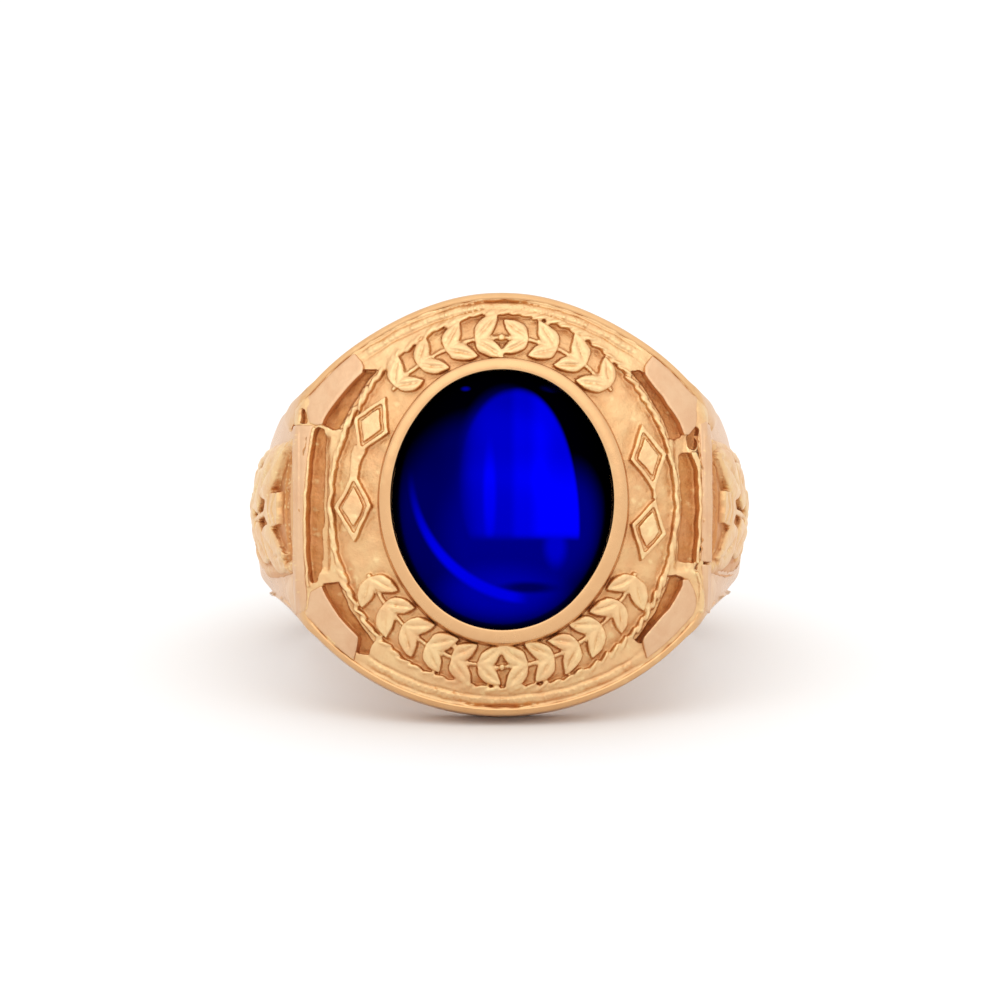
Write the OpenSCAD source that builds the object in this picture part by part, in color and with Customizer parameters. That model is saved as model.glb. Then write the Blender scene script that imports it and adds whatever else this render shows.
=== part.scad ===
// A class ring: an oval cabochon in a smooth bezel, on a flared cast head with raised ornament.
// The ring is drawn with the finger axis along z and the stone facing -y. It is then tipped
// about x until it lies on its side, on the end of the head and the edge of the shank.

/* [Finger hole] */
// Radius of the finger hole
bore_r = 9.5; // [8.5:0.1:9.8]

/* [Shank] */
// Radius of the shank's outer crest
shank_r = 11.4; // [11:0.1:12]
// Half width of the shank beside the finger
side_half = 3.4; // [3:0.1:4]
// Half width of the shank under the finger
under_half = 2.8; // [2.4:0.1:3.3]
// Radius of the shank's rounded outer face, across its width
crown_r = 16; // [12:0.5:20]

/* [Head] */
// Half length of the head along the finger
head_half = 9.65; // [9:0.05:10.5]
// Radius of the two arcs that form the head's outline
outline_r = 11.5; // [11:0.1:13]
// Radius of the domed top
dome_r = 20; // [16:0.5:26]
// Height of the dome's middle above the finger axis
dome_top = 13.92; // [13.5:0.01:14.5]
// Half width of the dome, where it turns down into the shoulders
shoulder_x = 9.62; // [9.4:0.01:9.9]
// Radius of the hollow curve below the head's ends
flare_r = 8.8; // [8:0.1:10]
// Height of the raised ornament
relief = 0.3; // [0.15:0.01:0.4]

/* [Bezel and stone] */
// Half length of the stone
stone_a = 6; // [5.5:0.05:6.2]
// Half width of the stone
stone_b = 5; // [4.5:0.05:5.2]
// Radius of the stone's rounded ends
stone_end_r = 4.35; // [4:0.05:4.6]
// Height of the stone's top above the finger axis
stone_top = 15.8; // [15.2:0.05:16.5]
// Height of the stone's flat back above the finger axis
stone_back = 11.75; // [11.5:0.05:12]
// Height of the dome of the stone above its straight edge
stone_dome = 2.3; // [1.6:0.05:2.6]
// Space between the stone and its seat
seat_gap = 0.04; // [0.02:0.01:0.1]
// Half length of the bezel
bezel_a = 6.5; // [6.35:0.05:6.8]
// Half width of the bezel
bezel_b = 5.62; // [5.5:0.02:5.8]
// Height of the bezel's rim above the finger axis
bezel_top = 13.85; // [13.6:0.05:14]

/* [Ornament] */
// Half length of the rope border, on its middle line
rope_a = 8.66; // [8.4:0.02:8.8]
// Half width of the rope border, on its middle line
rope_b = 7.77; // [7.6:0.01:7.9]
// Width of the rope border
rope_w = 0.28; // [0.2:0.02:0.4]
// Width of the rail along the head's edge
rail_w = 0.36; // [0.25:0.01:0.45]
// Length of a lozenge
lozenge_l = 2.9; // [2.4:0.1:3]
// Width of a lozenge
lozenge_w = 1.56; // [1.3:0.02:1.7]
// Length of a leaf
leaf_l = 1.36; // [1:0.02:1.5]
// Width of a leaf
leaf_w = 0.56; // [0.4:0.02:0.7]
// Depth to which the resting points are worn flat
wear = 0.09; // [0.05:0.01:0.15]

/* [Hidden] */
$fn = 96;

// Centre of the dome, on the far side of the finger axis
dome_y = dome_r - dome_top;
// Distance of the outline's two arc centres from the middle
outline_off = outline_r - head_half;
// The shoulder's face is an arc that leaves the shank at the finger axis and meets the dome
shoulder_y = sqrt(dome_r * dome_r - shoulder_x * shoulder_x) - dome_y;
shoulder_in = shank_r - shoulder_x;
shoulder_r = (shoulder_in * shoulder_in + shoulder_y * shoulder_y) / (2 * shoulder_in);
// The shank's outer edge stands lower than its crest
crown_drop = crown_r - sqrt(crown_r * crown_r - under_half * under_half);
edge_r = shank_r - crown_drop;
// The flare leaves the shank here, level with its sides
flare_y = sqrt(flare_r * flare_r - pow(flare_r + side_half - head_half, 2)) - bore_r;
// The ring tips until the head's end and the shank's edge are level
tip = atan((head_half - under_half) / (bore_r + edge_r));
sink = head_half * cos(tip) - bore_r * sin(tip) - wear;
// Reach of the tipped ring to the front and the back
stone_long_r = (stone_a * stone_a + stone_dome * stone_dome) / (2 * stone_dome);
stone_wide_r = (stone_b * stone_b + stone_dome * stone_dome) / (2 * stone_dome);
reach_front = (stone_top - stone_long_r) * cos(tip) + stone_long_r;
reach_back = edge_r * cos(tip) + under_half * sin(tip);
// Ornament starts inside the head, well above the finger hole
root_y = 10.6;

// Angles round the oval, from +x towards +z
lozenge_at = [20, -11, 150, 182];
leaves_above = [for (i = [0 : 6]) 37 + i * 16.3];
leaves_below = [for (i = [0 : 9]) 201 + i * 14.6];

// Four-arc oval with half width b and half length a, whose ends have the radius end_r
module oval(b, a, end_r) {
    side_r = (a * a + b * b - 2 * a * end_r) / (2 * (b - end_r));
    meet = side_r * (a - end_r) / (side_r - end_r);
    intersection() {
        translate([b - side_r, 0]) circle(side_r);
        translate([side_r - b, 0]) circle(side_r);
        square([3 * b, 2 * meet], center = true);
    }
    for (s = [-1, 1]) translate([0, s * (a - end_r)]) circle(end_r);
}

// Oval that runs evenly round the stone, at the half width b and half length a
module stone_oval(b, a) {
    oval(b, a, stone_end_r + (b - stone_b + a - stone_a) / 2);
}

// Pointed shape between two arcs, along y
module arcs(long, wide) {
    r = (long * long + wide * wide) / (4 * wide);
    intersection() {
        translate([r - wide / 2, 0]) circle(r);
        translate([wide / 2 - r, 0]) circle(r);
    }
}

module rhombus(long, wide) {
    polygon([[0, -long / 2], [wide / 2, 0], [0, long / 2], [-wide / 2, 0]]);
}

// A flat outline, drawn with x to the side and y along the finger, raised along -y
module stand(from, to) {
    translate([0, -from, 0]) rotate([90, 0, 0]) linear_extrude(to - from) children();
}

// A flat outline, drawn with x round the shank and y along the finger, raised along +x
module stand_side(from, to) {
    translate([from, 0, 0]) rotate([90, 0, 90]) linear_extrude(to - from) children();
}

// The two long arcs of the head seen from above, drawn in by inset
module head_outline(inset) {
    intersection() {
        translate([0, -outline_off]) circle(outline_r - inset);
        translate([0, outline_off]) circle(outline_r - inset);
    }
}

// The same outline with room for the shoulders to run on into the shank
module body_outline() {
    head_outline(0);
    square([3 * shank_r, 2 * side_half], center = true);
}

module rope_border() {
    difference() {
        stone_oval(rope_b + rope_w / 2, rope_a + rope_w / 2);
        stone_oval(rope_b - rope_w / 2, rope_a - rope_w / 2);
    }
}

// Rail along the two long arcs of the head's edge
module edge_rail() {
    difference() {
        square([3 * shoulder_x, 3 * head_half], center = true);
        head_outline(rail_w);
        square([3 * shank_r, 2 * side_half + 0.5], center = true);
    }
}

// Satin panel in each corner, between the rope and the rail
module corner_panels() {
    for (sx = [-1, 1], sz = [-1, 1])
        scale([sx, sz])
            polygon([
                [6.3, 6.1], [6.75, 5.55], [7.25, 4.95], [7.65, 4.35], [8.1, 3.5], [8.4, 3.3],
                [8.7, 3.9], [8.72, 4.75], [8.45, 5.3], [7.7, 5.98], [6.7, 6.58], [6.35, 6.45]
            ]);
}

// Ridge and bar beside the stone, along the top of each shoulder
module side_bars() {
    for (s = [-1, 1]) {
        translate([s * 8.84, 0]) square([0.16, 7.6], center = true);
        translate([s * 9.26, 0]) square([0.46, 8.2], center = true);
    }
}

// Lozenge with a groove round a smaller one
module lozenge() {
    difference() {
        rhombus(lozenge_l, lozenge_w);
        rhombus(lozenge_l * 0.72, lozenge_w * 0.72);
    }
    rhombus(lozenge_l * 0.46, lozenge_w * 0.46);
}

// Place on the middle of the track at this angle, turned along the track
module on_track(at) {
    bezel_mid = [(rope_b + bezel_b) / 2, (rope_a + bezel_a) / 2];
    translate([bezel_mid.x * cos(at), bezel_mid.y * sin(at)])
        rotate(atan2(bezel_mid.x * sin(at), bezel_mid.y * cos(at)))
            children();
}

// Pair of leaves that lean away from the middle of the track
module leaf_pair(way) {
    for (s = [-1, 1])
        translate([s * 0.34, way * 0.1]) rotate(-s * way * 32) arcs(leaf_l, leaf_w);
}

module wreath() {
    for (at = leaves_above) on_track(at) leaf_pair(at < 90 ? 1 : -1);
    for (at = leaves_below) on_track(at) leaf_pair(at < 270 ? 1 : -1);
}

module top_ornament() {
    rope_border();
    edge_rail();
    corner_panels();
    side_bars();
    for (at = lozenge_at) on_track(at) lozenge();
    wreath();
}

module shield(long, wide) {
    intersection() {
        rotate(90) arcs(2 * long, wide);
        translate([0, -wide]) square([long, 2 * wide]);
    }
}

module shoulder_ornament() {
    translate([-10.6, 0]) {
        difference() {
            shield(6.4, 4.2);
            translate([0.3, 0]) shield(5.4, 3.4);
        }
        translate([2.3, 0]) rotate(90) lozenge();
    }
    for (s = [-1, 1]) {
        translate([-6.9, s * 3.02]) square([7.8, 0.3], center = true);
        for (i = [0 : 3])
            translate([-8.2 + i * 1.5, s * (2.3 - i * 0.3)]) rotate(90 - s * 35) arcs(1.5, 0.6);
    }
    translate([-2.6, 0]) {
        rotate(90) arcs(2, 0.9);
        for (s = [-1, 1]) translate([-0.3, s * 1.1]) rotate(90 - s * 40) arcs(2, 0.8);
    }
}

module dome(rise) {
    translate([0, dome_y, 0]) sphere(dome_r + rise);
}

// Solid behind one rounded shoulder face, which crosses the crown of the shank at the finger axis
module shoulder(rise) {
    translate([shank_r - shoulder_r, 0, 0]) rotate_extrude() {
        intersection() {
            translate([shoulder_r - crown_r, 0]) circle(crown_r + rise);
            translate([0, -crown_r]) square([2 * shoulder_r, 2 * crown_r]);
        }
        translate([0, -crown_r]) square([shoulder_r - crown_r, 2 * crown_r]);
    }
}

module blank(rise) {
    intersection() {
        dome(rise);
        shoulder(rise);
        mirror([1, 0, 0]) shoulder(rise);
    }
}

module head() {
    intersection() {
        stand(0, stone_top) body_outline();
        union() {
            blank(0);
            intersection() {
                union() {
                    stand(root_y, stone_top) top_ornament();
                    for (s = [0, 1]) mirror([s, 0, 0]) stand_side(9.7, 12.5) shoulder_ornament();
                }
                blank(relief);
            }
        }
    }
}

module shank() {
    rotate_extrude() intersection() {
        translate([shank_r - crown_r, 0]) circle(crown_r);
        translate([bore_r - 0.5, -side_half]) square([2 * shank_r, 2 * side_half]);
    }
}

// Outline seen from the side: wide at the head, drawn in by a hollow curve, then tapering
module side_outline() {
    slope = (side_half - under_half) / (edge_r - flare_y);
    far_y = shank_r + 1;
    far_half = side_half - slope * (far_y - flare_y);
    difference() {
        translate([-stone_top, -head_half - 1]) square([stone_top + far_y, 2 * head_half + 2]);
        for (s = [-1, 1]) scale([1, s]) {
            translate([flare_y, flare_r + side_half]) circle(flare_r);
            polygon([
                [flare_y, side_half], [far_y, far_half],
                [far_y, head_half + 2], [flare_y, head_half + 2]
            ]);
        }
    }
}

// Tips the upright ring onto its side and sets its resting points on z = 0
module laid() {
    translate([0, (reach_front - reach_back) / 2, sink]) rotate([-tip, 0, 0]) children();
}

// Shank, head, bezel and ornament, cast in one
module ring_casting() {
    color([0.93, 0.75, 0.46]) difference() {
        laid() difference() {
            union() {
                intersection() {
                    union() {
                        head();
                        shank();
                    }
                    stand_side(-2 * shank_r, 2 * shank_r) side_outline();
                }
                stand(stone_back - 0.6, bezel_top) stone_oval(bezel_b, bezel_a);
            }
            cylinder(r = bore_r, h = 3 * head_half, center = true);
            stand(stone_back - seat_gap, stone_top)
                stone_oval(stone_b + seat_gap, stone_a + seat_gap);
        }
        translate([0, 0, -5]) cube([40, 60, 10], center = true);
    }
}

// Cabochon with a flat back, a straight edge and a domed top
module stone() {
    color([0.02, 0.02, 0.75]) laid() intersection() {
        stand(stone_back, stone_top + 1) stone_oval(stone_b, stone_a);
        translate([0, stone_long_r - stone_top, 0]) rotate([0, 90, 0]) rotate_extrude() intersection() {
            translate([stone_long_r - stone_wide_r, 0]) circle(stone_wide_r);
            translate([0, -2 * stone_a]) square([4 * stone_a, 4 * stone_a]);
        }
    }
}

ring_casting();
stone();
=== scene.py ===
# Class ring with an oval blue cabochon, lying on its side.
# Everything is drawn in millimetres round the finger axis, then laid on the floor in metres.
import bpy
import math
import random
from mathutils import Matrix, Vector, noise


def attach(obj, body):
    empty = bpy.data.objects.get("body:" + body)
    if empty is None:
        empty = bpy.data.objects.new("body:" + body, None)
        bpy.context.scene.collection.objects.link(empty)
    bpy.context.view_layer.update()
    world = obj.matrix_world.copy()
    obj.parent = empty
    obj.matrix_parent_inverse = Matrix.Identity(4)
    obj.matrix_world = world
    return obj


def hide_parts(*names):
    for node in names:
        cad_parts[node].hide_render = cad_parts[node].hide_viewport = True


print("loading the frame")
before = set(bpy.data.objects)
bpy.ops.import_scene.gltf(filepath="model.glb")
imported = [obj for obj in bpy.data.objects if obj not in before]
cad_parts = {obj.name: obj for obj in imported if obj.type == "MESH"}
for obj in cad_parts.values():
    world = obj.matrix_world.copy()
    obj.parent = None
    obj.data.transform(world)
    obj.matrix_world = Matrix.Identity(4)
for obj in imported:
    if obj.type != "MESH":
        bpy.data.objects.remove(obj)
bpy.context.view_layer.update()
random.seed(7)

# sizes of the casting, the same as in the solid model
ring = {
    "boreR": 9.5,          # finger hole
    "shankR": 11.4,        # crest of the shank
    "sideHalf": 3.4,       # half width of the shank beside the finger
    "underHalf": 2.8,      # and under it
    "crownR": 16.0,        # rounding across the shank
    "headHalf": 9.65,      # half length of the head
    "outlineR": 11.5,      # the two arcs of the head's outline
    "domeR": 20.0,         # domed top of the head
    "domeTop": 13.92,
    "shoulderX": 9.62,     # where the dome turns down into the shoulders
    "flareR": 8.8,         # hollow curve below the head's ends
    "wear": 0.09,          # flats worn where the ring rests
    "crease": 0.35,        # softness of the turn between dome and shoulder
    "corner": 2.2,         # and of the outline there
    "wallCrease": 0.5,     # and of the wall, where the outline gives way to the hollow curve
    "rounding": 0.25,      # drop at the upper edge of the shank
    "underRounding": 0.5,  # and at the lower, more worn one
    # the upper long edge is filed a little flatter between these two distances from its middle
    "filed": 0.28, "filedIn": (0.5, 6.5), "filedOut": (8.8, 9.8),
    # and it is fuller where it meets the shoulders, in two steps
    "fuller": 0.5, "fullerIn": (8.6, 10.2), "fullest": 0.4, "fullestIn": (9.7, 10.4),
}
stoneCut = {
    "halfLong": 6.0, "halfWide": 5.0, "endR": 4.35,
    "top": 15.8, "back": 11.75, "dome": 2.3,
}
# the four-arc oval of the rope round the stone, a little off the middle and fuller at its lower end
rope = {"halfWide": 7.82, "halfLong": 8.65, "right": 0.08, "up": 0.1, "fullLow": 0.032, "fullHigh": -0.015}
# the ornamented field of each shoulder, from its top by the head down to its rounded end
field = {"half": 2.8, "top": -11.1, "straight": -10.9, "long": 9.4, "end": -1.5}
buried = 0.3  # how deep the ornament reaches into the casting

domeY = ring["domeR"] - ring["domeTop"]
outlineOff = ring["outlineR"] - ring["headHalf"]
shoulderY = math.sqrt(ring["domeR"] ** 2 - ring["shoulderX"] ** 2) - domeY
shoulderIn = ring["shankR"] - ring["shoulderX"]
shoulderR = (shoulderIn ** 2 + shoulderY ** 2) / (2 * shoulderIn)
shoulderMid = ring["shankR"] - shoulderR
edgeR = ring["shankR"] - ring["crownR"] + math.sqrt(ring["crownR"] ** 2 - ring["underHalf"] ** 2)
flareZ = ring["flareR"] + ring["sideHalf"]
flareY = math.sqrt(ring["flareR"] ** 2 - (flareZ - ring["headHalf"]) ** 2) - ring["boreR"]
stoneLongR = (stoneCut["halfLong"] ** 2 + stoneCut["dome"] ** 2) / (2 * stoneCut["dome"])
stoneWideR = (stoneCut["halfWide"] ** 2 + stoneCut["dome"] ** 2) / (2 * stoneCut["dome"])

# the ring tips until the end of the head and the edge of the shank are level
tip = math.atan((ring["headHalf"] - ring["underHalf"]) / (ring["boreR"] + edgeR))
sink = ring["headHalf"] * math.cos(tip) - ring["boreR"] * math.sin(tip) - ring["wear"]
reachFront = (stoneCut["top"] - stoneLongR) * math.cos(tip) + stoneLongR
reachBack = edgeR * math.cos(tip) + ring["underHalf"] * math.sin(tip)
laid = (Matrix.Scale(0.001, 4) @ Matrix.Translation((0, (reachFront - reachBack) / 2, sink))
        @ Matrix.Rotation(-tip, 4, "X"))


# small helpers
def deselectAll():
    if bpy.context.mode != "OBJECT":
        bpy.ops.object.mode_set(mode="OBJECT")
    bpy.ops.object.select_all(action="DESELECT")


def pick(*objs):
    deselectAll()
    for obj in objs:
        obj.select_set(True)
    bpy.context.view_layer.objects.active = objs[0]


def named(name):
    obj = bpy.context.object
    obj.name = name
    obj.data.name = name
    return obj


def newBall(name, segments, rings, radius=1):
    deselectAll()
    bpy.ops.mesh.primitive_uv_sphere_add(segments=segments, ring_count=rings, radius=radius)
    return named(name)


def linked(name, data):
    obj = bpy.data.objects.new(name, data)
    bpy.context.collection.objects.link(obj)
    return obj


def applyModifier(obj, kind, **settings):
    pick(obj)
    mod = obj.modifiers.new(kind.title(), kind)
    for key, value in settings.items():
        setattr(mod, key, value)
    bpy.ops.object.modifier_apply(modifier=mod.name)


def joined(parts, name):
    pick(*parts)
    if len(parts) > 1:
        bpy.ops.object.join()
    obj = named(name)
    bpy.ops.object.transform_apply(location=True, rotation=True, scale=True)
    return obj


def copyTo(obj, matrix):
    twin = obj.copy()
    twin.data = obj.data.copy()
    twin.matrix_world = matrix
    bpy.context.collection.objects.link(twin)
    return twin


def remove(obj):
    bpy.data.objects.remove(obj, do_unlink=True)


def placed(place, turn=0, size=(1, 1, 1), base=Matrix.Identity(4)):
    # matrix that sizes a piece, turns it about its upright axis and moves it, within a base
    return base @ Matrix.Translation(place) @ Matrix.Rotation(turn, 4, "Z") @ Matrix.Diagonal((*size, 1))


def recalculated(obj, merge=True):
    pick(obj)
    bpy.ops.object.mode_set(mode="EDIT")
    bpy.ops.mesh.select_all(action="SELECT")
    if merge:
        bpy.ops.mesh.remove_doubles(threshold=0.0005)
    bpy.ops.mesh.normals_make_consistent(inside=False)
    bpy.ops.object.mode_set(mode="OBJECT")


def finished(obj, material, angle=35):
    # lays a piece drawn in millimetres on the floor and gives it its finish
    obj.data.transform(laid)
    obj.data.materials.clear()
    obj.data.materials.append(material)
    pick(obj)
    bpy.ops.object.shade_smooth_by_angle(angle=math.radians(angle))
    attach(obj, "root")
    return obj


# the surface of the casting, as functions of a place on it
def eased(value, first, last):
    # runs softly from 0 at first to 1 at last
    share = min(max((value - first) / (last - first), 0), 1)
    return share * share * (3 - 2 * share)


def softMin(a, b, width):
    h = max(width - abs(a - b), 0) / width
    return min(a, b) - h * h * width / 4


def crownDrop(z):
    return ring["crownR"] - math.sqrt(ring["crownR"] ** 2 - z * z)


def edgeDrop(z):
    # extra rounding near both edges of the shank
    share = eased(abs(z), ring["underHalf"] - 0.5, ring["underHalf"] + 0.6)
    return ring["rounding" if z > 0 else "underRounding"] * share


def halfOutline(x, way):
    # half length of the head at this distance from its middle; way is 1 for the upper edge
    lens = math.sqrt(max(ring["outlineR"] ** 2 - x * x, 0)) - outlineOff
    if way > 0:
        far = abs(x)
        lens -= ring["filed"] * eased(far, *ring["filedIn"]) * (1 - eased(far, *ring["filedOut"]))
        fuller = ring["fuller"] * eased(far, *ring["fullerIn"])
        lens += fuller + ring["fullest"] * eased(far, *ring["fullestIn"])
    return -softMin(-lens, -ring["sideHalf"], ring["corner"])


def halfTaper(y):
    # half width of the body seen from the side
    if y > flareY:
        return ring["sideHalf"] - (ring["sideHalf"] - ring["underHalf"]) * (y - flareY) / (edgeR - flareY)
    if y < flareY - ring["flareR"] * 0.999:
        # beyond the curve, where the outline alone counts
        return 2 * ring["headHalf"]
    return flareZ - math.sqrt(ring["flareR"] ** 2 - (y - flareY) ** 2)


def wallHalf(x, y, way):
    return softMin(halfOutline(x, way), halfTaper(y), ring["wallCrease"])


def outerReach(turn, z):
    # distance from the finger axis to the outer face, turn 0 at the stone
    c, s = math.cos(turn), abs(math.sin(turn))
    if c < 0:
        return ring["shankR"] - crownDrop(z) - edgeDrop(z)
    dome = -domeY * c + math.sqrt(max(domeY ** 2 * c * c + ring["domeR"] ** 2 - domeY ** 2 - z * z, 0))
    barrel = shoulderR - crownDrop(z)
    side = s * shoulderMid + math.sqrt(max(s * s * shoulderMid ** 2 - shoulderMid ** 2 + barrel ** 2, 0))
    return softMin(dome, side - edgeDrop(z) * (1 - c), ring["crease"])


def groundHeight(x, z):
    # height of the head's top over the finger axis, at a place seen from above
    dome = math.sqrt(max(ring["domeR"] ** 2 - x * x - z * z, 0)) - domeY
    barrel = shoulderR - crownDrop(z)
    side = math.sqrt(max(barrel ** 2 - (abs(x) - shoulderMid) ** 2, 0))
    return softMin(dome, side, ring["crease"])


def shoulderReach(y, z):
    # distance of the shoulder's face from the middle of the ring
    return shoulderMid + math.sqrt((shoulderR - crownDrop(z)) ** 2 - y * y)


def fieldHalf(y):
    # half width of the field of a shoulder
    share = max(y - field["straight"], 0) / field["long"]
    return field["half"] * max(1 - share ** 3, 0) ** (1 / 3)


def insideField(y, z):
    return field["top"] < y < field["end"] and abs(z) < fieldHalf(y)


# ornament is drawn flat, with its height along z, and then bent onto the casting
def onTop(obj):
    for vert in obj.data.vertices:
        x, z, rise = vert.co
        slope = (groundHeight(x + 0.01, z) - groundHeight(x - 0.01, z)) / 0.02
        steep = math.hypot(1, slope)
        vert.co = (x - rise * slope / steep, -groundHeight(x, z) - rise / steep, z)


def onShoulder(obj, side):
    for vert in obj.data.vertices:
        y, z, rise = vert.co
        vert.co = (side * (shoulderReach(y, z) + rise), y, side * z)


def upright(obj):
    # for pieces whose height is measured from the finger axis
    for vert in obj.data.vertices:
        x, z, rise = vert.co
        vert.co = (x, -rise, z)


def ovalAt(halfWide, halfLong, endR, share):
    # place on a four-arc oval and its outward angle; share 0 is at +x and 1 is once round
    sideR = (halfLong ** 2 + halfWide ** 2 - 2 * halfLong * endR) / (2 * (halfWide - endR))
    meet = math.atan2(halfLong - endR, sideR - halfWide)
    quarter = sideR * meet + endR * (math.pi / 2 - meet)
    part, run = divmod((share % 1) * 4, 1)
    back = part in (1, 3)
    run = quarter * (1 - run if back else run)
    if run < sideR * meet:
        angle = run / sideR
        x = halfWide - sideR + sideR * math.cos(angle)
        z = sideR * math.sin(angle)
    else:
        angle = meet + (run - sideR * meet) / endR
        x = endR * math.cos(angle)
        z = halfLong - endR + endR * math.sin(angle)
    flipX, flipZ = part in (1, 2), part in (2, 3)
    x, z = (-x if flipX else x), (-z if flipZ else z)
    angle = math.atan2(-math.sin(angle) if flipZ else math.sin(angle),
                       -math.cos(angle) if flipX else math.cos(angle))
    return x, z, angle


def evenOval(halfWide, halfLong, share):
    # oval that runs evenly round the stone
    grow = (halfWide - stoneCut["halfWide"] + halfLong - stoneCut["halfLong"]) / 2
    return ovalAt(halfWide, halfLong, stoneCut["endR"] + grow, share)


def outlineCurve(name, loops):
    # flat curve through one or more closed outlines
    curve = bpy.data.curves.new(name, "CURVE")
    curve.dimensions = "2D"
    curve.fill_mode = "BOTH"
    for loop in loops:
        line = curve.splines.new("POLY")
        line.points.add(len(loop) - 1)
        for point, (x, y) in zip(line.points, loop):
            point.co = (x, y, 0, 1)
        line.use_cyclic_u = True
    return linked(name, curve)


def plate(name, loops, low, high, edge=0):
    # raised plate between two heights, with a soft upper edge
    obj = outlineCurve(name, loops)
    curve = obj.data
    curve.extrude = (high - low) / 2 - edge
    curve.bevel_depth = edge
    curve.bevel_resolution = 3
    curve.offset = -edge
    pick(obj)
    bpy.ops.object.convert(target="MESH")
    obj = named(name)
    obj.location.z = (high + low) / 2
    bpy.ops.object.transform_apply(location=True, rotation=False, scale=False)
    return obj


def roof(half, side, crest):
    # section of a raised line: upright sides up to one height and a crest at another
    return [(-half, -buried), (half, -buried), (half, side), (0, crest), (-half, side)]


def wire(name, places, profile, closed=False):
    # profile points are (across, up); across is to the left of the way along
    section = outlineCurve(name + "Profile", [profile])
    obj = outlineCurve(name, [places])
    obj.data.splines[0].use_cyclic_u = closed
    obj.data.fill_mode = "NONE"
    obj.data.bevel_mode = "OBJECT"
    obj.data.bevel_object = section
    obj.data.use_fill_caps = not closed
    pick(obj)
    bpy.ops.object.convert(target="MESH")
    obj = named(name)
    remove(section)
    return obj


# finishes
def linear(hexCode):
    # sRGB hex to linear colour
    values = [int(hexCode[i:i + 2], 16) / 255 for i in (1, 3, 5)]
    return [v / 12.92 if v <= 0.04045 else ((v + 0.055) / 1.055) ** 2.4 for v in values] + [1]


def newMaterial(name):
    material = bpy.data.materials.new(name)
    material.use_nodes = True
    material.node_tree.nodes.clear()
    return material


def add(material, kind, inputs=None, links=None, stops=None, **settings):
    # one node with its settings, its own values, what runs into it and its colour stops;
    # a node named in links gives its first output
    node = material.node_tree.nodes.new("ShaderNode" + kind)
    for key, value in settings.items():
        setattr(node, key, value)
    for key, value in (inputs or {}).items():
        node.inputs[key].default_value = value
    for key, source in (links or {}).items():
        socket = source if isinstance(source, bpy.types.NodeSocket) else source.outputs[0]
        material.node_tree.links.new(socket, node.inputs[key])
    if stops:
        while len(node.color_ramp.elements) < len(stops):
            node.color_ramp.elements.new(0.5)
        for element, (place, value) in zip(node.color_ramp.elements, stops):
            element.position = place
            element.color = value if isinstance(value, list) else (value, value, value, 1)
    return node


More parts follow.
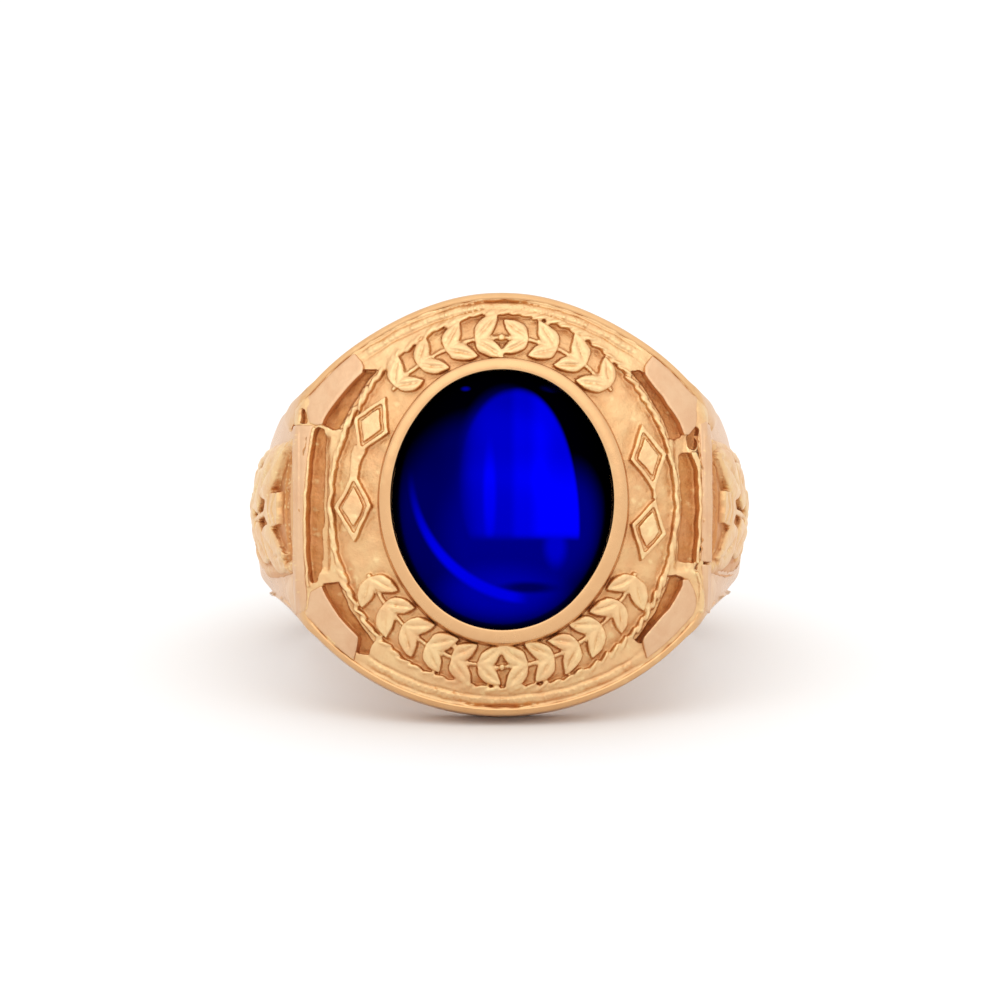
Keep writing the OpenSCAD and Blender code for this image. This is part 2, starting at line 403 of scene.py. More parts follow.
def goldFinish(name, look):
    # 9 carat yellow gold; grain, wave and stain are sizes in millimetres, and so are their depths
    material = newMaterial(name)
    place = add(material, "TexCoord").outputs["Object"]
    noises = [("grain", 4, 0.62, 0), ("wave", 2, 0.5, 0), ("stain", 5, 0.7, 0.4)]
    grain, wave, stain = [
        add(material, "TexNoise",
            {"Scale": 1000 / look[key], "Detail": detail, "Roughness": roughness, "Distortion": twist},
            {"Vector": place})
        for key, detail, roughness, twist in noises]
    # how shut in a place lies between raised parts (ambient occlusion), used below for painted shade in the
    # colour and to place the specks of tarnish
    hollow = add(material, "AmbientOcclusion", {"Distance": look["reach"] / 1000}, samples=12)
    deep = add(material, "ValToRGB", links={"Fac": hollow.outputs["AO"]},
               stops=[(look["deepFrom"], 1.0), (look["deepTo"], 0.0)])
    paintedShadeAndWearShare = add(material, "Math", {1: look["paintedShadeAndWearShare"]}, {0: deep}, operation="MULTIPLY")
    if "heights" in look:
        # by height, the ground of the relief keeps a darker tone and the tops are made brighter: partly the
        # wear of rubbed tops, partly painted shade on the low ground
        rise = add(material, "Attribute", attribute_name="rise")
        level = add(material, "MapRange", {"From Min": look["floor"], "From Max": look["crest"]},
                    {"Value": rise.outputs["Fac"]})
        low = add(material, "ValToRGB", links={"Fac": level}, stops=look["heights"])
        paintedShadeAndWearShare = add(material, "Math", links={0: paintedShadeAndWearShare, 1: low}, operation="ADD", use_clamp=True)
    # painted shade: the colour is mixed towards the darker, redder deep colour where a place lies shut in,
    # and, by height, on the low ground
    shadeAndWearTone = add(material, "Mix", {6: linear(look["colour"]), 7: linear(look["deep"])}, {0: paintedShadeAndWearShare},
                data_type="RGBA")
    # soft patches of redder and paler gold
    patch = add(material, "ValToRGB", links={"Fac": stain}, stops=[(0.38, 0.0), (0.68, 1.0)])
    patchShare = add(material, "Math", {1: look["patchShare"]}, {0: patch}, operation="MULTIPLY")
    patched = add(material, "Mix", {7: linear(look["patch"])}, {0: patchShare, 6: shadeAndWearTone.outputs[2]},
                  data_type="RGBA")
    # edges brightened in the colour: partly the wear of rubbed edges, partly a painted highlight along them
    shape = add(material, "NewGeometry")
    edgeWearAndHighlight = add(material, "MapRange",
                {"From Min": look["edgeFrom"], "From Max": look["edgeFrom"] + look["edgeWidth"],
                 "To Max": look["edgeShare"]},
                {"Value": shape.outputs["Pointiness"]})
    worn = add(material, "Mix", {7: linear(look["edge"])}, {0: edgeWearAndHighlight, 6: patched.outputs[2]},
               data_type="RGBA")
    # specks of tarnish, only where it lies deep
    speck = add(material, "ValToRGB", links={"Fac": grain}, stops=[(0.56, 0.0), (0.66, 1.0)])
    speckShare = add(material, "Math", links={0: speck, 1: deep}, operation="MULTIPLY")
    speckAmount = add(material, "Math", {1: look["tarnish"]}, {0: speckShare}, operation="MULTIPLY",
                      use_clamp=True)
    final = add(material, "Mix", {7: linear("#5a3a1c")}, {0: speckAmount, 6: worn.outputs[2]},
                data_type="RGBA")
    # a little rougher in the stains and where it lies deep
    rough = add(material, "MapRange",
                {"To Min": look["roughness"] - look["roughSpread"],
                 "To Max": look["roughness"] + look["roughSpread"]},
                {"Value": stain})
    rougher = add(material, "Math", {1: 0.18}, {0: paintedShadeAndWearShare, 2: rough}, operation="MULTIPLY_ADD",
                  use_clamp=True)
    waveBump = add(material, "Bump", {"Strength": 1, "Distance": look["waveDepth"] / 1000}, {"Height": wave})
    grainBump = add(material, "Bump", {"Strength": 1, "Distance": look["grainDepth"] / 1000},
                    {"Height": grain, "Normal": waveBump})
    shader = add(material, "BsdfPrincipled", {"Metallic": 1},
                 {"Base Color": final.outputs[2], "Roughness": rougher, "Normal": grainBump})
    add(material, "OutputMaterial", links={"Surface": shader})
    return material


# in each finish, deep is the colour of painted shade between raised parts, and edge the colour of edges
# brightened partly by wear and partly by a painted highlight
# cast relief: sandblasted matt ground, redder and darker between the raised parts by painted shade, and
# rubbed tops
castRelief = goldFinish("SandblastedCastGold", {
    "colour": "#e8c592", "deep": "#c2854e", "deepFrom": 0.15, "deepTo": 1.0, "paintedShadeAndWearShare": 0.52, "reach": 0.6,
    "heights": [(0.0, 0.92), (0.14, 0.7), (0.3, 0.3), (0.6, 0.12), (0.85, 0.0)],
    "floor": -0.14, "crest": 0.38,
    "patch": "#d69c6e", "patchShare": 0.55, "tarnish": 0.45,
    "edge": "#f4dea6", "edgeFrom": 0.52, "edgeShare": 0.55, "edgeWidth": 0.18,
    "roughness": 0.34, "roughSpread": 0.06,
    "grain": 0.16, "grainDepth": 0.036, "wave": 0.8, "waveDepth": 0.06, "stain": 1.5,
})
# rails: hand-polished, bright and smooth with soft waves left by the buff
polishedTop = goldFinish("BuffedGold", {
    "colour": "#dbaf7e", "deep": "#b87a42", "deepFrom": 0.3, "deepTo": 0.95, "paintedShadeAndWearShare": 0.6, "reach": 0.35,
    "patch": "#d2a06d", "patchShare": 0.5, "tarnish": 0.3,
    "edge": "#ecc892", "edgeFrom": 0.52, "edgeShare": 0.3, "edgeWidth": 0.08,
    "roughness": 0.32, "roughSpread": 0.06,
    "grain": 0.16, "grainDepth": 0.01, "wave": 0.6, "waveDepth": 0.04, "stain": 1.4,
})
# satin panels and bars: even and slightly pink, with a faint fine grain and corners brightened, partly by
# wear and partly by a painted highlight
satinPanel = goldFinish("SatinGold", {
    "colour": "#dcb58f", "deep": "#b0733f", "deepFrom": 0.3, "deepTo": 0.95, "paintedShadeAndWearShare": 0.65, "reach": 0.35,
    "patch": "#cf9e78", "patchShare": 0.5, "tarnish": 0.2,
    "edge": "#f4d898", "edgeFrom": 0.53, "edgeShare": 0.5, "edgeWidth": 0.2,
    "roughness": 0.36, "roughSpread": 0.05,
    "grain": 0.11, "grainDepth": 0.016, "wave": 1.0, "waveDepth": 0.05, "stain": 1.1,
})
# plain polished shank and bezel: smooth, with a few broad soft waves
polishedPlain = goldFinish("PolishedGold", {
    "colour": "#d8aa7a", "deep": "#b0733f", "deepFrom": 0.3, "deepTo": 0.95, "paintedShadeAndWearShare": 0.65, "reach": 0.4,
    "patch": "#cc9a6b", "patchShare": 0.4, "tarnish": 0.2,
    "edge": "#e6c08c", "edgeFrom": 0.52, "edgeShare": 0.4, "edgeWidth": 0.1,
    "roughness": 0.28, "roughSpread": 0.05,
    "grain": 0.2, "grainDepth": 0.006, "wave": 1.2, "waveDepth": 0.04, "stain": 2.0,
})


def stoneFinish():
    # synthetic spinel over a foil back: mirror-like deep blue, black towards the rim; painted light in the
    # base colour stands for an oval of light over the middle and a thin crescent low on the left
    look = {
        "roughness": 0.26, "dark": "#000004", "bright": "#0000ff",
        # each zone is a patch of painted light: centre x and z, half width and length, where its edge starts
        # and ends; it may have a hole of the same kind, and fade in along x and z
        "paintedLightZones": [
            {"oval": (-0.85, -0.9, 4.5, 5.05, 0.72, 1.04), "value": 0.09},
            {"oval": (3.2, -0.9, 1.6, 2.9, 0.4, 1.05), "value": 0.16},
            {"oval": (0.5, -1.9, 3.7, 3.9, 0.6, 1.1), "value": 0.2},
            {"oval": (-0.1, -4.35, 3.2, 1.45, 0.3, 1.15), "value": 0.34},
            {"oval": (1.2, -4.08, 1.5, 0.3, 0.3, 1.2), "value": 0.09},
            {"oval": (2.4, -2.25, 0.65, 1.1, 0.3, 1.1), "value": 0.5},
            {"oval": (0.25, 1.2, 2.5, 3.95, 0.62, 1.06), "x": (-2.6, -1.2), "z": (-2.2, -1.4),
             "value": 0.32},
            {"oval": (0.6, 0.62, 2.6, 4.38, 0.93, 1.03), "x": (-2.2, -0.5), "z": (-2.1, -1.55),
             "value": 0.48},
            {"oval": (0.7, -1.4, 2.85, 6.5, 0.93, 1.01), "x": (0.25, 0.75), "z": (-2.0, -1.6),
             "value": 0.64},
            {"oval": (0.7, -1.4, 2.85, 6.5, 0.94, 1.01), "x": (1.1, 1.8), "z": (-2.0, -1.5),
             "value": 0.86},
            {"oval": (-0.58, 0.1, 0.34, 2.4, 0.4, 1.2), "z": (-2.0, -1.6), "value": 0.72},
            {"oval": (1.2, 1.2, 5.45, 5.95, 0.98, 1.025), "hole": (1.65, 1.35, 5.7, 5.75, 0.98, 1.02),
             "x": (1.3, 0.4), "z": (1.6, -3.0), "value": 0.7},
            {"oval": (2.5, 5.1, 0.8, 0.26, 0.2, 1.1), "value": 0.1},
            {"oval": (-1.65, 5.05, 0.25, 0.14, 0.2, 1.1), "value": 0.3},
        ],
    }
    material = newMaterial("FoilBackedSpinel")
    # back to the ring's own millimetres, x across and z along the finger
    place = add(material, "TexCoord").outputs["Object"]
    square = add(material, "Mapping",
                 {"Location": laid.translation, "Rotation": (-tip, 0, 0), "Scale": (0.001, 0.001, 0.001)},
                 {"Vector": place}, vector_type="TEXTURE")
    parts = add(material, "SeparateXYZ", links={"Vector": square})
    # the painted highlights, laid zone over zone
    paintedLight = None
    for zone in look["paintedLightZones"]:
        # what each mask measures, and where it fades in
        fades = []
        for key in ("oval", "hole"):
            if key in zone:
                x, z, wide, long, first, last = zone[key]
                shifted = add(material, "Mapping", {"Location": (x, 0, z), "Scale": (wide, 1e6, long)},
                              {"Vector": square}, vector_type="TEXTURE")
                reach = add(material, "VectorMath", links={0: shifted}, operation="LENGTH")
                fades.append((reach.outputs["Value"], (last, first) if key == "oval" else (first, last)))
        fades += [(parts.outputs[key.upper()], zone[key]) for key in ("x", "z") if key in zone]
        mask = None
        for measure, (first, last) in fades:
            fade = add(material, "MapRange", {"From Min": first, "From Max": last}, {"Value": measure},
                       interpolation_type="SMOOTHSTEP")
            mask = add(material, "Math", links={0: mask, 1: fade}, operation="MULTIPLY") if mask else fade
        below = {2: paintedLight} if paintedLight else {}
        paintedLight = add(material, "Mix", {2: 0, 3: zone["value"]}, {0: mask, **below})
    # the painted light fades where the dome turns away, and painted shade makes it darker towards the upper
    # end
    turned = add(material, "LayerWeight", {"Blend": 0.35})
    shade = add(material, "MapRange", {"From Min": 0.35, "From Max": 0.95, "To Min": 1, "To Max": 0.1},
                {"Value": turned.outputs["Facing"]})
    paintedUpperShade = add(material, "MapRange", {"From Min": 0, "From Max": 2.3, "To Min": 1, "To Max": 0.68},
               {"Value": parts.outputs["Z"]}, interpolation_type="SMOOTHSTEP")
    dimmed = add(material, "Math", links={0: shade, 1: paintedUpperShade}, operation="MULTIPLY")
    shaded = add(material, "Math", links={0: paintedLight, 1: dimmed}, operation="MULTIPLY")
    # the painted light runs from the dark to the bright blue of the base colour
    colour = add(material, "Mix", {6: linear(look["dark"]), 7: linear(look["bright"])}, {0: shaded},
                 data_type="RGBA")
    shader = add(material, "BsdfPrincipled",
                 {"Metallic": 1, "Roughness": look["roughness"], "Specular Tint": linear("#00000c")},
                 {"Base Color": colour.outputs[2]})
    add(material, "OutputMaterial", links={"Surface": shader})
    return material


foilSpinel = stoneFinish()


# the casting without its ornament
def makeBody():
    look = {"round": 288, "across": 180, "faceShare": 0.5, "wallShare": 0.28, "boreRound": 0.16,
            # seat of the stone, and the ground sunk under the relief of the top and of the shoulders
            "seat": (5.3, 6.3), "seatLift": 0.15, "topReach": 9.0, "topInset": 0.5, "topSink": 0.3,
            "shoulder": 9.55, "wall": 0.6, "fieldSink": 0.42, "fieldRise": 0.25, "riseIn": (1.6, 2.7)}
    deselectAll()
    bpy.ops.mesh.primitive_torus_add(major_segments=look["round"], minor_segments=look["across"],
                                     major_radius=10, minor_radius=1)
    body = named("castBody")
    edges = {}
    for vert in body.data.vertices:
        x, y, z = vert.co
        turn = round(math.atan2(x, -y), 5)
        lift = math.atan2(z, math.hypot(x, y) - 10)
        side, share = (1 if lift > 0 else -1), abs(lift) / math.pi
        if (turn, side) not in edges:
            reach = 12
            for i in range(40):
                half = wallHalf(reach * math.sin(turn), -reach * math.cos(turn), side)
                reach = 0.8 * reach + 0.2 * outerReach(turn, half)
            edges[turn, side] = (reach, half)
        reach, half = edges[turn, side]
        if share < look["faceShare"]:
            z = side * half * share / look["faceShare"]
            far = outerReach(turn, z)
        elif share < look["faceShare"] + look["wallShare"]:
            far = reach + (ring["boreR"] - reach) * (share - look["faceShare"]) / look["wallShare"]
            z = side * wallHalf(far * math.sin(turn), -far * math.cos(turn), side)
        else:
            far = ring["boreR"]
            inner = wallHalf(far * math.sin(turn), -far * math.cos(turn), side)
            z = side * inner * (1 - share) / (1 - look["faceShare"] - look["wallShare"])
        vert.co = (far * math.sin(turn), -far * math.cos(turn), z)
    for vert in body.data.vertices:
        x, y, z = vert.co
        over, wall = -y - ring["boreR"], math.hypot(x, y) - ring["boreR"]
        if over > 1 and math.hypot(x / look["seat"][0], z / look["seat"][1]) < 1:
            vert.co.y = look["seatLift"] - stoneCut["back"]
        elif over > 0.5 and abs(x) < look["topReach"] and abs(z) < halfOutline(x, z) - look["topInset"]:
            vert.co.y += look["topSink"]
        elif abs(x) > look["shoulder"] and insideField(y, z) and wall > look["wall"]:
            vert.co.x *= 1 - (look["fieldSink"] - look["fieldRise"] * eased(z, *look["riseIn"])) / abs(x)
    recalculated(body, merge=False)
    applyModifier(body, "BEVEL", width=look["boreRound"], segments=3, limit_method="ANGLE",
                  angle_limit=math.radians(40))
    return body


def makeStone():
    stone = newBall("cabochon", 128, 64)
    girdle = stoneCut["top"] - stoneCut["dome"]
    for vert in stone.data.vertices:
        share = math.atan2(vert.co.y, vert.co.x) / (2 * math.pi)
        out = math.hypot(vert.co.x, vert.co.y)
        x, z, angle = ovalAt(stoneCut["halfWide"], stoneCut["halfLong"], stoneCut["endR"], share)
        x, z = x * out, z * out
        if vert.co.z > -1e-4:
            # barrel dome: one radius along the stone and one across it
            ringR = stoneLongR - stoneWideR + math.sqrt(stoneWideR ** 2 - x * x)
            rise = stoneCut["top"] - stoneLongR + math.sqrt(ringR ** 2 - z * z)
        else:
            rise = max(stoneCut["back"], girdle - 4 * (girdle - stoneCut["back"]) * -vert.co.z)
        vert.co = (x, z, rise)
    upright(stone)
    return stone


# ornament of the top, drawn flat in millimetres: x across, y along the finger, z up
def lensSlope(x, way):
    return (halfOutline(x + 0.01, way) - halfOutline(x - 0.01, way)) / 0.02


def lensPlace(x, inset, way):
    # a place inside the head's long edge, square to it
    slope = lensSlope(x, way)
    steep = math.hypot(1, slope)
    return x + inset * slope / steep, way * (halfOutline(x, way) - inset / steep)


def lensRun(first, last, inset, way, count):
    return [lensPlace(first + (last - first) * i / count, inset, way) for i in range(count + 1)]


def lensLoop(reach, inset):
    # both long edges of the head as one outline
    return lensRun(-reach, reach, inset, 1, 60) + lensRun(reach, -reach, inset, -1, 60)


def lensInset(x, y):
    # distance of a place from the head's long edge
    way = 1 if y > 0 else -1
    return (halfOutline(x, way) - abs(y)) / math.hypot(1, lensSlope(x, way))


def ropeFull(x, y):
    return 1 + rope["fullLow" if y < 0 else "fullHigh"] * math.sin(2 * math.atan2(y, x)) ** 2


def ropeAt(share, out=0.0):
    x, y, angle = evenOval(rope["halfWide"] + out, rope["halfLong"] + out, share)
    full = ropeFull(x, y)
    return x * full + rope["right"], y * full + rope["up"], angle


def ropeShare(x, y):
    # 1 on the rope, less inside it and more outside
    x, y = x - rope["right"], y - rope["up"]
    return math.hypot(x / rope["halfWide"], y / rope["halfLong"]) / ropeFull(x, y)


def ropeLoop(count, out=0.0):
    return [ropeAt(i / count, out)[:2] for i in range(count)]


def ropeRun(side, low, high):
    # places just outside the rope on one side, from the lower to the upper
    run = [(x, y) for x, y in ropeLoop(400, 0.06) if x * side > 0 and low < y < high]
    return sorted(run, key=lambda place: place[1])


def stoneLoop(halfWide, halfLong, count):
    return [evenOval(halfWide, halfLong, i / count)[:2] for i in range(count)]


def trackMatrix(at):
    # middle of the track at this angle, turned so that y runs along the track
    wide, long = 6.72, 7.56
    x, y = wide * math.cos(at), long * math.sin(at)
    return placed((x, y, 0), math.atan2(wide * math.sin(at), long * math.cos(at)))


def makeBezel():
    # wall round the stone, heights over the finger axis
    look = {"wall": 0.6, "foot": 12.4, "rim": 13.86, "squeeze": 0.012, "right": 0.06, "down": 0.04}
    wall, foot, rim = look["wall"], look["foot"], look["rim"]
    profile = [(0, foot), (-wall - 0.14, foot), (-wall - 0.1, 13.0), (-wall - 0.04, 13.3),
               (-wall, rim - 0.16), (-wall + 0.03, rim - 0.12), (-wall + 0.1, rim - 0.08),
               (-0.3, rim - 0.02), (-0.12, rim + 0.02), (-0.04, rim), (0, rim - 0.08)]
    path = stoneLoop(stoneCut["halfWide"], stoneCut["halfLong"], 160)
    bezel = wire("bezel", path, profile, closed=True)
    for vert in bezel.data.vertices:
        out = max(math.hypot(vert.co.x / stoneCut["halfWide"], vert.co.y / stoneCut["halfLong"]) - 1, 0) * 9
        vert.co.x = vert.co.x * (1 + look["squeeze"]) + look["right"] * min(out, 1)
        vert.co.y = vert.co.y * (1 - look["squeeze"]) - look["down"] * min(out, 1)
    upright(bezel)
    recalculated(bezel)
    return bezel


def makeRope(parts):
    # worn rope border: short strands, each a little aslant, that step along the edge of the surround
    look = {"strands": 88, "long": 0.4, "wide": 0.11, "high": 0.17, "slant": 19, "core": 0.07}
    parts.append(wire("cord", ropeLoop(160), roof(look["core"], 0.16, 0.22), closed=True))
    strand = newBall("strand", 16, 8)
    for i in range(look["strands"]):
        x, y, angle = ropeAt((i + random.uniform(-0.18, 0.18)) / look["strands"], random.uniform(-0.03, 0.03))
        turn = angle + math.pi / 2 + math.radians(look["slant"] * min(abs(y) / 5, 1) + random.uniform(-7, 7))
        # the strands are worn long and flat at the sides
        flat = 1 - eased(abs(y), 3, 6)
        size = (look["long"] * random.uniform(0.8, 1.15) * (1 + 0.4 * flat),
                look["wide"] * random.uniform(0.8, 1.3), look["high"] * random.uniform(0.9, 1.1))
        parts.append(copyTo(strand, placed((x, y, 0.15), turn, size)))
    remove(strand)


def makeSurround(parts):
    # raised land between rope and rails, with the recesses beside panels and bars cut down into it
    look = {"high": 0.2, "reach": 9.35, "inset": 0.1}
    recesses = [
        ropeRun(-1, 3.36, 6.1)
        + [(-6.2, 6.14), (-6.6, 5.85), (-7.2, 5.18), (-7.62, 4.66), (-7.98, 4.15), (-8.14, 3.68),
           (-7.98, 3.52), (-7.6, 3.32)],
        ropeRun(1, 2.84, 6.0)
        + [(6.3, 6.08), (6.52, 5.94), (6.78, 5.6), (7.08, 5.2), (7.42, 4.8), (7.64, 4.4), (7.94, 4.0),
           (8.18, 3.64), (8.26, 3.2), (8.2, 2.98), (7.9, 2.86)],
        ropeRun(-1, -6.25, -3.58)[::-1]
        + [(-5.92, -6.5), (-6.05, -6.96), (-6.56, -6.85), (-6.62, -6.35), (-6.68, -6.0), (-7.02, -5.68),
           (-7.42, -5.2), (-7.72, -4.75), (-8.02, -4.25), (-8.18, -3.95), (-8.1, -3.68)],
        ropeRun(1, -6.25, -3.3)[::-1]
        + [(6.12, -6.42), (6.42, -6.42), (6.48, -6.2), (6.76, -5.88), (7.02, -5.6), (7.38, -5.15),
           (7.68, -4.82), (7.94, -4.44), (8.14, -4.12), (8.24, -3.82), (8.2, -3.46), (7.9, -3.34)],
        [(-8.36, 3.56), (-8.56, 2.8), (-8.7, 1.5), (-8.82, 0.1), (-8.84, -1.4), (-8.76, -2.9),
         (-8.64, -3.66), (-8.36, -3.62), (-8.22, -3.1), (-8.18, -2.1), (-8.14, -0.9), (-8.1, 0.6),
         (-8.02, 2.1), (-8.02, 3.36)],
        [(8.1, 2.14), (8.1, 0.5), (8.1, -0.6), (8.06, -1.7), (8.0, -2.62), (8.3, -2.72), (8.86, -2.72),
         (8.94, -1.2), (9.0, 0.5), (8.96, 1.7), (8.65, 2.28), (8.3, 2.3)],
        [(8.4, 3.02), (8.82, 3.56), (8.94, 3.36), (8.88, 2.66), (8.74, 2.44), (8.46, 2.5)],
        [(-8.84, 3.7), (-8.84, 3.95), (-8.93, 4.35), (-9.02, 4.48), (-9.1, 4.2), (-9.12, 3.7)],
    ]
    loops = [lensLoop(look["reach"], look["inset"]), ropeLoop(120)] + recesses
    parts.append(plate("surround", loops, -0.45, look["high"]))


def makeMilgrain(parts):
    # row of fine beads just inside each rail
    look = {"inset": 0.62, "reach": 6.3, "pitch": 0.29, "bead": 0.095}
    bead = newBall("bead", 10, 6)
    for way in (-1, 1):
        run = -look["reach"]
        while run < look["reach"]:
            x, y = lensPlace(run, look["inset"], way)
            run += look["pitch"] / math.hypot(1, lensSlope(run, way))
            size = look["bead"] * random.uniform(0.75, 1.15)
            rise = random.uniform(0.15, 0.2)
            parts.append(copyTo(bead, placed((x, y, rise), size=(size, size, size))))
    remove(bead)


def makeLozenges(parts):
    # raised outline, groove and smaller raised lozenge, tip to tip in pairs
    look = {"long": 3.3, "wide": 1.7, "high": 0.36, "rim": 0.17, "deep": 0.17, "groove": 0.15, "inner": 0.17,
            # middle, turn in degrees, and share of the full width and length
            "places": ((6.58, 2.0, 10, 0.95, 0.95), (6.6, -1.32, -12, 0.96, 0.86),
                       (-5.86, 3.5, -25, 1.0, 0.87), (-6.68, -0.24, 0, 0.98, 0.98))}
    deselectAll()
    bpy.ops.mesh.primitive_circle_add(vertices=4, fill_type="NGON", radius=1, location=(0, 0, -buried))
    lozenge = named("lozenge")
    bpy.ops.object.mode_set(mode="EDIT")
    bpy.ops.mesh.select_all(action="SELECT")
    bpy.ops.transform.resize(value=(look["wide"] / 2, look["long"] / 2, 1))
    bpy.ops.mesh.extrude_region_move(TRANSFORM_OT_translate={"value": (0, 0, look["high"] + buried)})
    bpy.ops.mesh.inset(thickness=look["rim"])
    bpy.ops.mesh.extrude_region_move(TRANSFORM_OT_translate={"value": (0, 0, -look["deep"])})
    bpy.ops.mesh.inset(thickness=look["groove"])
    bpy.ops.mesh.extrude_region_move(TRANSFORM_OT_translate={"value": (0, 0, look["inner"])})
    bpy.ops.object.mode_set(mode="OBJECT")
    bpy.ops.object.transform_apply(location=True, rotation=False, scale=False)
    recalculated(lozenge)
    for x, y, turn, wide, long in look["places"]:
        parts.append(copyTo(lozenge, placed((x, y, 0), math.radians(turn), (wide, long, 1))))
    remove(lozenge)
    # the left pair hangs together by a broad neck, the right pair by a thin one
    necks = [[(-6.66, 2.6), (-6.1, 2.5), (-6.16, 2.2), (-6.36, 1.8), (-6.48, 1.35), (-6.52, 1.0),
              (-6.88, 1.0), (-6.8, 1.7), (-6.78, 2.3)],
             [(6.76, 0.75), (6.94, 0.75), (6.9, 0.45), (6.98, 0.1), (6.8, 0.1), (6.8, 0.45)]]
    for neck in necks:
        parts.append(plate("neck", [neck], -buried, 0.34))


def makeLeaf(long, wide, high):
    # pointed leaf with a sunk midrib and a rounded blade, its stalk at the origin
    deselectAll()
    bpy.ops.mesh.primitive_grid_add(x_subdivisions=12, y_subdivisions=16, size=2)
    leaf = named("leaf")
    for vert in leaf.data.vertices:
        u, v = vert.co.x, vert.co.y
        half = wide / 2 * (1 - abs(v) ** 2.4) * (1 - 0.22 * v)
        crown = high - 0.1 * u ** 4 - 0.13 * math.exp(-(u * half / 0.07) ** 2) * (1 - v * v)
        vert.co = (u * half, (v + 1) * long / 2, crown - 0.06 * v * v)
    bpy.ops.object.mode_set(mode="EDIT")
    bpy.ops.mesh.select_all(action="SELECT")
    bpy.ops.mesh.extrude_region_move(TRANSFORM_OT_translate={"value": (0, 0, -high - buried)})
    bpy.ops.object.mode_set(mode="OBJECT")
    recalculated(leaf)
    return leaf


def makeWreath(parts):
    # two laurel branches over the top of the stone and two under it, tips meeting in the middle
    look = {"long": 1.44, "wide": 0.76, "high": 0.4, "lean": 38, "shift": 0.5, "stem": 0.09, "berry": 0.17,
            # first, middle and last angle, and how many pairs of leaves
            "branches": ((42, 90, 138, 8), (206, 270, 334, 12))}
    leaf = makeLeaf(look["long"], look["wide"], look["high"])
    berry = newBall("berry", 12, 8, look["berry"])
    for first, middle, last, count in look["branches"]:
        path = [trackMatrix(math.radians(first + (last - first) * i / 40)).translation[:2] for i in range(41)]
        parts.append(wire("stem", path, roof(look["stem"], 0.2, 0.26)))
        for i in range(count):
            at = first + (last - first) * (i + 0.5) / count
            track = trackMatrix(math.radians(at))
            along, shift = (0, -look["shift"]) if at < middle else (180, look["shift"])
            for side in (-1, 1):
                turn = along - side * (look["lean"] + random.uniform(-5, 5))
                size = random.uniform(0.94, 1.1)
                leafAt = placed((0, shift, 0), math.radians(turn), (size, size, 1), track)
                parts.append(copyTo(leaf, leafAt))
        parts.append(copyTo(berry, placed((0, 0, 0.22), base=trackMatrix(math.radians(middle)))))
    remove(leaf)
    remove(berry)


def makeRidges(parts):
    # thin bright ridges between the side pockets and the bars, with a lump at the head of the right one
    look = {"high": 0.36, "half": 0.07}
    ridges = [[(-8.46, 3.5), (-8.62, 2.8), (-8.76, 1.5), (-8.87, 0.1), (-8.89, -1.4), (-8.83, -2.9),
               (-8.75, -3.85)],
              [(8.66, 2.3), (8.88, 1.75), (8.97, 0.7), (8.94, -0.7), (8.88, -1.9), (8.83, -2.75)],
              [(8.74, -3.2), (8.92, -3.7), (8.98, -4.25), (8.96, -4.7), (8.88, -5.0)]]
    for ridge in ridges:
        parts.append(wire("ridge", ridge, roof(look["half"], look["high"] - 0.05, look["high"])))
    lump = [(8.52, 2.3), (8.78, 2.34), (8.95, 1.8), (8.93, 0.9), (8.8, 1.6)]
    parts.append(plate("lump", [lump], -buried, look["high"]))


def melted(obj, voxel, rounds):
    # melts the joined parts into one casting with soft corners
    applyModifier(obj, "REMESH", mode="VOXEL", voxel_size=voxel)
    applyModifier(obj, "SMOOTH", factor=0.5, iterations=rounds)


def softened(obj, voxel, rounds, wobble, lump):
    # melted, with slightly uneven walls, and without what lies hidden in the casting
    melted(obj, voxel, rounds)
    clouds = bpy.data.textures.new(obj.name, "CLOUDS")
    clouds.noise_scale = lump
    applyModifier(obj, "DISPLACE", texture=clouds, strength=wobble, mid_level=0.5)
    for item in [*obj.data.edges, *obj.data.vertices]:
        item.select = False
    for face in obj.data.polygons:
        face.select = face.center.z < -buried
    bpy.ops.object.mode_set(mode="EDIT")
    bpy.ops.mesh.select_mode(type="FACE")
    bpy.ops.mesh.delete(type="FACE")
    bpy.ops.object.mode_set(mode="OBJECT")


def markHeight(obj):
    # height over the ground, kept for the finish
    rise = obj.data.attributes.new("rise", "FLOAT", "POINT")
    rise.data.foreach_set("value", [vert.co.z for vert in obj.data.vertices])


